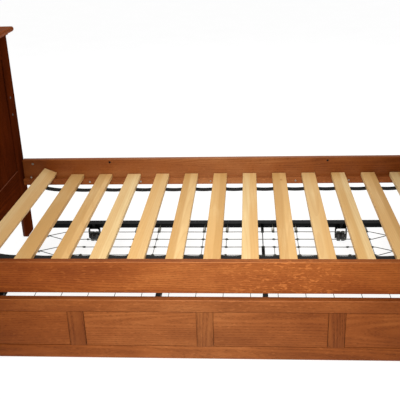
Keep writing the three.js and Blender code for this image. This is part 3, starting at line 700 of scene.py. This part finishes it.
def screw_head(b, at, r=0.0042, mat=0, dark=1):
    """Countersunk cross-head screw; local +Z points out of the wood."""
    b.add(turned([(0, -0.0016), (r * 0.75, -0.0016), (r, -0.0002), (r * 0.97, 0.0001), (0, 0.0001)], 20, "z"), dark, at=at)
    w = 0.17
    for k in range(4):
        a0 = k * math.pi / 2 + w
        a1 = (k + 1) * math.pi / 2 - w
        pts = [(r * 0.20 * math.cos((a0 + a1) / 2), r * 0.20 * math.sin((a0 + a1) / 2))]
        pts += [(r * 0.93 * math.cos(a0 + (a1 - a0) * j / 5), r * 0.93 * math.sin(a0 + (a1 - a0) * j / 5)) for j in range(6)]
        b.add(prism(pts, 0.0001, 0.0005, "z"), mat, smooth=False, at=at)
    b.add(lathe([(r * 0.90, -0.0002), (r, -0.0002), (r * 1.0, 0.0003), (r * 0.94, 0.0006), (r * 0.90, 0.0005)], 20, "z"), mat, at=at)


def facing(x, y, z, direction):
    """A frame at that point whose +Z looks along direction."""
    return Matrix.Translation((x, y, z)) @ Vector(direction).to_track_quat("Z", "X").to_matrix().to_4x4()


for side, s in (("front", -1), ("rear", 1)):
    b = Build()
    for x in (-0.624, -0.373, -0.034, 0.373, 0.624, 0.84, -0.84):
        screw_head(b, facing(x, s * (0.5047 - 0.022 - 0.0002), 0.279, (0, -s, 0)))
    b.make(f"{side}_ledger_screws", [ZINC, RECESS], "bed")

# a dark bush inside each through hole of the rear rail
b = Build()
for x in ((-0.5235, 0.372), (0.5235, 0.372)):
    b.add(lathe([(0.0042, 0.5062), (0.0053, 0.5062), (0.0053, 0.5295), (0.0042, 0.5295)], 24, "y"), 0, at=Matrix.Translation((x[0], 0, x[1])))
    b.add(turned([(0, 0.5160), (0.0043, 0.5160), (0.0043, 0.5180), (0, 0.5180)], 20, "y"), 0, at=Matrix.Translation((x[0], 0, x[1])))
b.make("rail_hole_bushes", [PLASTIC], "bed")

# two threaded sockets for a guard on the inner face of each rear post
for end, e in (("left", -1), ("right", 1)):
    b = Build()
    for z in (0.627, 0.709):
        for y in (0.470,):
            b.add(lathe([(0.0026, -0.0010), (0.0052, -0.0010), (0.0052, 0.0004), (0.0047, 0.0007), (0.0030, 0.0007), (0.0026, 0.0003)], 24, "x"), 0, at=Matrix.Translation((e * 0.9556, y, z)) @ Matrix.Rotation(math.pi if e > 0 else 0, 4, "Z"))
            # a dark disk deep in each socket: painted shade for its hole
            b.add(turned([(0, -0.0002), (0.0027, -0.0002), (0.0027, 0.0001), (0, 0.0001)], 16, "x"), 1, at=Matrix.Translation((e * 0.9558, y, z)))
    b.make(f"{end}_post_sockets", [DULL, RECESS], "bed")


# ------------------------------------------------------------------ trundle: wooden front
FY0, FY1 = -0.555, -0.527
FH = 0.943
FZ0, FZ1 = 0.007, 0.250
TOPZ, LOWZ = 0.202, 0.060
FP, FS = 0.4572, 0.05715
b = Build()
# the front's top rail also carries a painted highlight along its front top edge, where the light catches it
mats = [oak("oak_front_top_rail", "x", (0, FY0, 0.226), OAK_FRONT, 41, 6.0, streak=0.8, flecks=0.2, spec=0.06, painted_end_shade=PAINTED_END_SHADE, painted_highlight=[(1, FY0, 2, FZ1, 0.0026, (196, 130, 84), 0.35)]),
        oak("oak_front_bottom_rail", "x", (0, FY0, 0.034), OAK_FRONT, 42, 6.0, streak=0.8, flecks=0.2, spec=0.06, painted_end_shade=PAINTED_END_SHADE)]
b.add(board(-FH, FH, FY0, FY1, TOPZ, FZ1, 0.0028), 0)
b.add(board(-FH, FH, FY0, FY1, FZ0, LOWZ, 0.0028), 1)
ups = [(-FH, -2 * FP + FS / 2)] + [(k * FP - FS / 2, k * FP + FS / 2) for k in (-1, 0, 1)] + [(2 * FP - FS / 2, FH)]
for i, (a, c) in enumerate(ups):
    mats.append(oak(f"oak_front_upright_{i + 1}", "z", ((a + c) / 2, FY0, 0.131), OAK_STILE, 50 + i, 5.0, streak=0.9, flecks=0.15, spec=0.06, painted_end_shade=PAINTED_END_SHADE))
    b.add(board(a, c, FY0 + 0.0002, FY1, LOWZ + 0.0003, TOPZ - 0.0003, 0.0012, 2), 2 + i)
b.make("trundle_front_joinery", mats, "trundle", ["trundle_front_frame"], sharp=40)
for k in range(4):
    c = (k - 1.5) * FP
    h = (FP - FS) / 2 - 0.0014
    b = Build()
    b.add(board(c - h, c + h, FY0 + 0.0014, FY0 + 0.0142, LOWZ + 0.0014, TOPZ - 0.0014, 0.0018, 3))
    b.add(board(c - h - 0.0013, c + h + 0.0013, FY0 + 0.0075, FY0 + 0.0125, LOWZ + 0.0001, TOPZ - 0.0001, 0.0003, 1))      # its tongue
    n = f"trundle_front_panel_{k + 1}"
    b.make(f"front_panel_{k + 1}", [oak("oak_" + n, "x", (c, FY0, 0.131), OAK_FRONT, 70 + k, 7.0, tilt=1.8, streak=0.7, flecks=0.15, spec=0.06, painted_end_shade=PAINTED_END_SHADE)], "trundle", [n], sharp=40)


# ------------------------------------------------------------------ trundle: spring deck
FX = 0.850
FRY0, FRY1 = -0.5265, 0.418
FTOP = 0.101
WZ = 0.096
ROW_Y = [-0.04625 + (k - 4.5) * 0.0768 for k in range(10)]
NODE_X = [(k - 6.5) * 0.1072 for k in range(14)]
V0, V1 = 0.706, 0.779
WR = 0.0019
b = Build()
X, Y, Z = Vector((1, 0, 0)), Vector((0, 1, 0)), Vector((0, 0, 1))


def eye(c, r, u, v):
    b.add(tube(ring(c, r, u, v, 12), WR, 6, closed=True))


# (column, row) pairs: places without a hooked joint, and pairs of rows left without a cross link
BARE = {(7, 9), (9, 9), (7, 6), (8, 9), (8, 8), (11, 9), (1, 9), (1, 8), (3, 9), (3, 8), (12, 9), (12, 8)}
OPEN = {(7, 8), (7, 6), (9, 8), (9, 7), (8, 8), (8, 7), (11, 8), (11, 7), (2, 8), (2, 7), (1, 8), (1, 7), (1, 6), (3, 8), (3, 7), (3, 6),
        (12, 8), (12, 7), (12, 6)}
for k, y in enumerate(ROW_Y):
    xs = [-V0] + NODE_X + [V0]
    for i in range(len(xs) - 1):
        x0, x1 = xs[i], xs[i + 1]
        if x1 - x0 < 0.03:                      # the short stretch beyond the last eye
            b.add(tube([(x0, y, WZ), (x1, y, WZ)], WR))
            continue
        dz = 0.0011 if i % 2 else -0.0011
        # a link: an eye at each end, hooked into its neighbour's
        b.add(tube([(x0 + 0.0035, y, WZ + dz), (x0 + 0.010, y, WZ + dz * 0.3), ((x0 + x1) / 2, y, WZ), (x1 - 0.010, y, WZ + dz * 0.3), (x1 - 0.0035, y, WZ + dz)], WR))
        eye((x0 + 0.0005, y, WZ + dz), 0.0040, X, Y)
        eye((x1 - 0.0005, y, WZ + dz), 0.0040, X, Y)
    # where a cross link is hooked on, a few tight turns of wire hold the joint
    for i, x in enumerate(NODE_X):
        if (i, k) in BARE:
            continue
        b.add(tube(helix((x - 0.0075, y, WZ), (x + 0.0075, y, WZ), 0.0027, 4.5, 8), 0.0010, 5))
# cross links: straight wires from one row to the next
for k in range(9):
    for i, x in enumerate(NODE_X):
        if (i, k) in OPEN:
            continue
        y0, y1 = ROW_Y[k], ROW_Y[k + 1]
        b.add(tube([(x, y0 + 0.0035, WZ - 0.0022), (x, y0 + 0.010, WZ - 0.0006), (x, y1 - 0.010, WZ + 0.0006), (x, y1 - 0.0035, WZ + 0.0022)], WR * 0.72, 5))
        b.add(tube(ring((x, y0, WZ - 0.0024), 0.0038, X, Y, 12), WR * 0.72, 5, closed=True))
        b.add(tube(ring((x, y1, WZ + 0.0024), 0.0038, X, Y, 12), WR * 0.72, 5, closed=True))


def end_spring(a, c, hook, R=0.0048, turns=9.5, r=0.00085, mat=0, hook_mat=0):
    """A tension spring from a to c, with a straight hook on to the frame."""
    a, c, hook = Vector(a), Vector(c), Vector(hook)
    b.add(tube(helix(a, c, R, turns, 10), r, 5), mat)
    t = (c - a).normalized()
    b.add(tube([a - t * 0.006 + Z * 0.001, a - t * 0.001, a + Z * R], r * 1.1, 5))
    b.add(tube([c + Z * R, c + t * 0.003, c + t * 0.006 - Z * 0.001, hook - t * 0.002 - Z * 0.001, hook + Z * 0.0012], r * 1.25, 5), hook_mat)


FLANGE = 0.038
for x in NODE_X:
    for s, row in ((-1, ROW_Y[0]), (1, ROW_Y[-1])):
        edge = (FRY0 + FLANGE) if s < 0 else (FRY1 - FLANGE)
        if s > 0 and abs(abs(x) - 0.6) < 0.031:
            continue                            # none above the rear casters
        near = abs(abs(x) - 0.6) < 0.031
        reach = edge - s * 0.003 if near else edge + s * 0.007
        end_spring((x, row + s * 0.010, WZ - 0.0035), (x, row + s * 0.046, WZ - 0.0035), (x, reach, WZ - 0.001), R=0.0060, turns=9.5, r=0.0014, mat=1, hook_mat=1 if s < 0 else 0)
for k in range(0, 10, 2):
    ym = (ROW_Y[k] + ROW_Y[k + 1]) / 2
    for s in (-1, 1):
        apex = s * V1
        for y in (ROW_Y[k], ROW_Y[k + 1]):
            b.add(tube([(s * (V0 - 0.001), y, WZ), (s * (V0 + 0.006), y + (ym - y) * 0.03, WZ), (apex, ym + (y - ym) * 0.06, WZ)], WR))
        b.add(tube(ring((apex + s * 0.001, ym, WZ), 0.0040, X, Y, 12), WR, 6, closed=True))
        end_spring((s * (V1 + 0.006), ym, WZ - 0.003), (s * (V1 + 0.026), ym, WZ - 0.003), (s * 0.8165, ym, WZ - 0.001), R=0.0044, turns=7.5)
b.make("spring_deck_wires", [WIRE, COIL], "trundle", ["trundle_spring_deck"], sharp=60)

# rivet heads on top of the angle bars at the four corners, and two bolt heads on the rear bar's back face near its ends
b = Build()
for sx in (-1, 1):
    for sy, y in ((-1, FRY0 + 0.019), (1, FRY1 - 0.019)):
        b.add(turned([(0, FTOP - 0.0002), (0.0055, FTOP - 0.0002), (0.0055, FTOP + 0.0012), (0.0042, FTOP + 0.0026), (0.0020, FTOP + 0.0032), (0, FTOP + 0.0033)], 20, "z"), at=Matrix.Translation((sx * (FX - 0.019), y, 0)))
    for y in (FRY1,):
        for x in (0.790,):
            b.add(turned([(0, y - 0.0005), (0.0052, y - 0.0005), (0.0050, y + 0.0016), (0.0030, y + 0.0026), (0, y + 0.0028)], 20, "y"), at=Matrix.Translation((sx * x, 0, FTOP - 0.019)))
b.make("frame_rivets", [ZINC], "trundle")

# screws through the uprights' base and into the wooden front
b = Build()
for x in (-0.733, -0.165, 0.212, 0.739):
    for z in (0.150, 0.215):
        screw_head(b, facing(x, -0.4946, z, (0, 1, 0)), r=0.0040)
b.make("support_screws", [ZINC, RECESS], "trundle")


# ------------------------------------------------------------------ casters
def caster(side, end, x, y):
    seat, top, half, t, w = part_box(f"caster_fork_{side}_{end}")[1].z, 0.072, 0.0274, 0.0042, 0.012
    bend = 0.008
    # middle line of the bent strip in the XZ plane, from the left leg's foot up and over to the right
    path = []
    c = half - t / 2
    for k in range(7):                           # rounded foot below the axle
        path.append((-c, 0.024 - w * math.cos(math.pi / 2 * k / 6)))
    path += [(-c, 0.05), (-c, top - t / 2 - bend)]
    for k in range(1, 6):
        a = math.pi - math.pi / 2 * k / 6
        path.append((-c + bend + bend * math.cos(a), top - t / 2 - bend + bend * math.sin(a)))
    path.append((-c + bend, top - t / 2))
    path += [(-px, pz) for px, pz in reversed(path)]
    verts, faces = [], []
    for i, (px, pz) in enumerate(path):
        a, d = path[max(0, i - 1)], path[min(len(path) - 1, i + 1)]
        l = math.hypot(d[0] - a[0], d[1] - a[1])
        nx, nz = -(d[1] - a[1]) / l, (d[0] - a[0]) / l
        ww = w if pz > 0.024 else max(0.0012, math.sqrt(max(0.0, w * w - (0.024 - pz) ** 2)))
        for sy, sn in ((-1, 1), (1, 1), (1, -1), (-1, -1)):
            verts.append((x + px + nx * sn * t / 2, y + sy * ww, pz + nz * sn * t / 2))
    n = len(path)
    for i in range(n - 1):
        for k in range(4):
            faces.append((4 * i + k, 4 * i + (k + 1) % 4, 4 * i + 4 + (k + 1) % 4, 4 * i + 4 + k))
    faces.append((0, 1, 2, 3))
    faces.append(tuple(4 * (n - 1) + k for k in (3, 2, 1, 0)))
    f = Build()
    f.add(outward(verts, faces))
    # the stem it hangs on, with a washer under the bar and one on the plate
    f.add(turned([(0, top - 0.0005), (0.0125, top - 0.0005), (0.0125, top + 0.0015), (0.0118, top + 0.0022), (0.0090, top + 0.0026), (0.0072, top + 0.0060), (0.0072, seat - 0.0060),
                  (0.0090, seat - 0.0030), (0.0110, seat - 0.0026), (0.0114, seat - 0.0020), (0.0114, seat), (0, seat)], 28, "z"), at=Matrix.Translation((x, y, 0)))
    # pressed rib down each leg, and the riveted axle
    for s in (-1, 1):
        f.add(board(x + s * half - 0.0008, x + s * half + 0.0009, y - 0.0025, y + 0.0025, 0.040, 0.064, 0.0007, 2))
    f.add(turned([(0, -0.029), (0.0028, -0.0287), (0.0048, -0.0278), (0.0052, -0.0270), (0.0040, -0.0269), (0.0038, -0.0268), (0.0038, 0.0268), (0.0040, 0.0269), (0.0052, 0.0270), (0.0048, 0.0278), (0.0028, 0.0287), (0, 0.029)], 24, "x"), 1, at=Matrix.Translation((x, y, 0.024)))
    f.make(f"fork_{side}_{end}", [STEEL, ZINC], "trundle", [f"caster_fork_{side}_{end}"], sharp=40)
    # wheel: two treads with a groove between them, a dished web and a hub
    R, h, W = 0.024, 0.0185, 0.0222
    prof = [(0.0041, -W), (0.0078, -W), (0.0085, -W + 0.0006), (0.0088, -h + 0.0030), (0.0105, -h + 0.0038), (0.0170, -h + 0.0034), (0.0190, -h + 0.0004), (0.0200, -h),
            (R - 0.0022, -h), (R - 0.0006, -h + 0.0009), (R, -h + 0.0026), (R, -0.0042), (R - 0.0008, -0.0030), (R - 0.0060, -0.0024), (R - 0.0068, 0.0)]
    prof = prof + [(r, -a) for r, a in reversed(prof[:-1])]
    g = Build()
    g.add(lathe(prof, 48, "x"), at=Matrix.Translation((x, y, 0.024)))
    for s in (-1, 1):                            # web ribs between hub and rim
        for k in range(6):
            at = Matrix.Translation((x, y, 0.024)) @ Matrix.Rotation(math.pi * k / 3, 4, "X")
            x0, x1 = sorted((s * (h - 0.0042), s * (h - 0.0014)))
            g.add(board(x0, x1, -0.0009, 0.0009, 0.0082, 0.0188, 0.0004, 1), at=at)
    g.make(f"wheel_{side}_{end}", [PLASTIC], f"wheel_{side}_{end}", [f"caster_wheel_{side}_{end}"], sharp=35)


for side, y in (("front", -0.498), ("rear", 0.402)):
    for end, x in (("left", -0.600), ("right", 0.594)):
        caster(side, end, x, y)


# ------------------------------------------------------------------ floor, light, camera
def stage_floor():
    me = bpy.data.meshes.new("floor")
    s = 14.0
    me.from_pydata([(-s, -s, -0.0012), (s, -s, -0.0012), (s, s, -0.0012), (-s, s, -0.0012)], [], [(0, 1, 2, 3)])
    m = Mat("floor_paint")
    co = m.node("TexCoord").outputs["Object"]
    n = m.noise(co, 3.0, 2.0, 0.5)
    m.set(base_color=m.ramp(n, [(0.3, (0.24, 0.24, 0.24, 1)), (0.7, (0.27, 0.27, 0.27, 1))]), roughness=0.8, specular_ior_level=0.1)
    m.b.inputs["Emission Color"].default_value = (1, 1, 1, 1)
    m.b.inputs["Emission Strength"].default_value = 0.87
    me.materials.append(m.m)
    ob = bpy.data.objects.new("floor", me)
    bpy.context.scene.collection.objects.link(ob)


stage_floor()


def area(name, loc, aim, size, power, colour=(1, 1, 1)):
    l = bpy.data.lights.new(name, "AREA")
    l.shape = "SQUARE"
    l.size = size
    l.energy = power
    l.color = colour
    o = bpy.data.objects.new(name, l)
    bpy.context.scene.collection.objects.link(o)
    o.location = loc
    o.rotation_mode = "QUATERNION"
    o.rotation_quaternion = (Vector(aim) - Vector(loc)).to_track_quat("-Z", "Y")
    return o


def flash(name, loc, aim, angle, power, radius, colour):
    l = bpy.data.lights.new(name, "SPOT")
    l.energy, l.spot_size, l.spot_blend, l.shadow_soft_size, l.color = power, rad(angle), 1.0, radius, colour
    o = bpy.data.objects.new(name, l)
    bpy.context.scene.collection.objects.link(o)
    o.location = loc
    o.rotation_mode = "QUATERNION"
    o.rotation_quaternion = (Vector(aim) - Vector(loc)).to_track_quat("-Z", "Y")


flash("flash", (0.08, -2.9, 2.1), (0.00, -0.42, 0.2), 38, 470, 0.30, (1.0, 0.97, 0.92))
area("top", (-0.2, -0.4, 4.2), (-0.2, 0, 0.2), 3.6, 58)
area("back", (0.0, 4.0, 3.2), (0, 0, 0.4), 3.0, 30)

world = bpy.data.worlds.new("studio")
bpy.context.scene.world = world
world.use_nodes = True
bg = world.node_tree.nodes["Background"]
bg.inputs[0].default_value = (1, 1, 1, 1)
bg.inputs[1].default_value = 0.40
bpy.context.scene.view_settings.view_transform = "Standard"
bpy.context.scene.view_settings.look = "None"


def camera():
    yaw, pitch, roll = rad(-4.45668), rad(23.24731), rad(2.02177)
    fwd = Vector((math.sin(yaw) * math.cos(pitch), math.cos(yaw) * math.cos(pitch), -math.sin(pitch)))
    right = Vector((math.cos(yaw), -math.sin(yaw), 0))
    down = fwd.cross(right)
    r2 = right * math.cos(roll) + down * math.sin(roll)
    d2 = -right * math.sin(roll) + down * math.cos(roll)
    cam = bpy.data.cameras.new("camera")
    cam.sensor_width = 36.0
    cam.lens = 680.0 * 36.0 / 400.0
    cam.clip_start, cam.clip_end = 0.05, 100
    ob = bpy.data.objects.new("camera", cam)
    bpy.context.scene.collection.objects.link(ob)
    m = Matrix.Identity(4)
    for i in range(3):
        m[i][0], m[i][1], m[i][2] = r2[i], -d2[i], -fwd[i]
    m[0][3], m[1][3], m[2][3] = 0.1491, -2.5621, 1.4920
    ob.matrix_world = m
    bpy.context.scene.camera = ob


camera()
